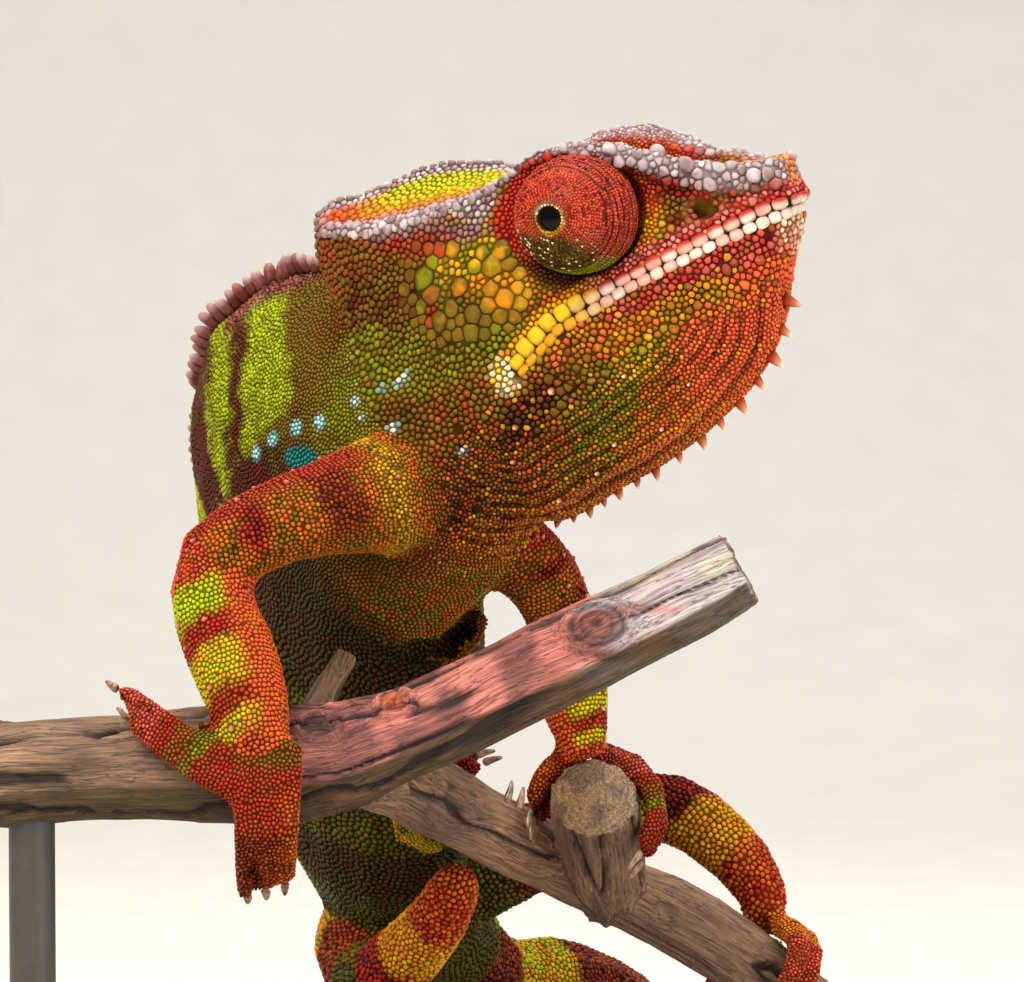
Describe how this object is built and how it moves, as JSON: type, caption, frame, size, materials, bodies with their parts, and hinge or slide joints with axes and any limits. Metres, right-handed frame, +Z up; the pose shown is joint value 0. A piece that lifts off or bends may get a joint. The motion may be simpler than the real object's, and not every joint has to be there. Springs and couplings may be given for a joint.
{
  "type": "panther chameleon model on a perch",
  "caption": "Life-size still model of an adult male panther chameleon gripping a forked branch, tail coiled, on a plain display stand.",
  "frame": {"origin": "middle of the underside of the stand's base", "axes": "+Z up, the animal looks towards +X and a little towards -Y, its belly towards -Y and its back towards +Y"},
  "size_m": [0.156, 0.176, 0.168],
  "materials": {
    "scaly_skin": "satin, granular scales in green, orange, red and maroon",
    "banded_skin": "satin, granular scales in crimson and lime bands",
    "turret_skin": "satin, fine rings of granules",
    "eye_glass": "polished, dark",
    "claw_horn": "translucent horn, smooth",
    "bark": "weathered bark with long cracks and knots",
    "painted_metal": "satin black paint"
  },
  "bodies": {
    "root": {"claw_foot_inner_left_1": "claw_horn", "claw_foot_inner_left_2": "claw_horn", "claw_foot_inner_right_1": "claw_horn", "claw_foot_inner_right_2": "claw_horn", "claw_foot_outer_left_1": "claw_horn", "claw_foot_outer_left_2": "claw_horn", "claw_foot_outer_left_3": "claw_horn", "claw_foot_outer_right_1": "claw_horn", "claw_foot_outer_right_2": "claw_horn", "claw_foot_outer_right_3": "claw_horn", "claw_hand_inner_left_1": "claw_horn", "claw_hand_inner_left_2": "claw_horn", "claw_hand_inner_left_3": "claw_horn", "claw_hand_inner_right_1": "claw_horn", "claw_hand_inner_right_2": "claw_horn", "claw_hand_inner_right_3": "claw_horn", "claw_hand_outer_left_1": "claw_horn", "claw_hand_outer_left_2": "claw_horn", "claw_hand_outer_right_1": "claw_horn", "claw_hand_outer_right_2": "claw_horn", "eye_turret_left": "turret_skin", "eye_turret_right": "turret_skin", "eyeball_left": "eye_glass", "eyeball_right": "eye_glass", "foot_inner_left": "banded_skin", "foot_inner_right": "banded_skin", "foot_outer_left": "banded_skin", "foot_outer_right": "banded_skin", "forearm_left": "banded_skin", "forearm_right": "banded_skin", "hand_inner_left": "banded_skin", "hand_inner_right": "banded_skin", "hand_outer_left": "banded_skin", "hand_outer_right": "banded_skin", "head": "scaly_skin", "jaw": "scaly_skin", "neck": "scaly_skin", "perch_branch": "bark", "perch_fork": "bark", "perch_stub": "bark", "perch_twig": "bark", "shin_left": "banded_skin", "shin_right": "banded_skin", "stand_base": "painted_metal", "stand_rod_left": "painted_metal", "stand_rod_right": "painted_metal", "tail_1": "banded_skin", "tail_2": "banded_skin", "tail_3": "banded_skin", "tail_4": "banded_skin", "tail_5": "banded_skin", "tail_6": "banded_skin", "thigh_left": "banded_skin", "thigh_right": "banded_skin", "trunk": "scaly_skin", "upper_arm_left": "banded_skin", "upper_arm_right": "banded_skin"}
  },
  "joints": []
}
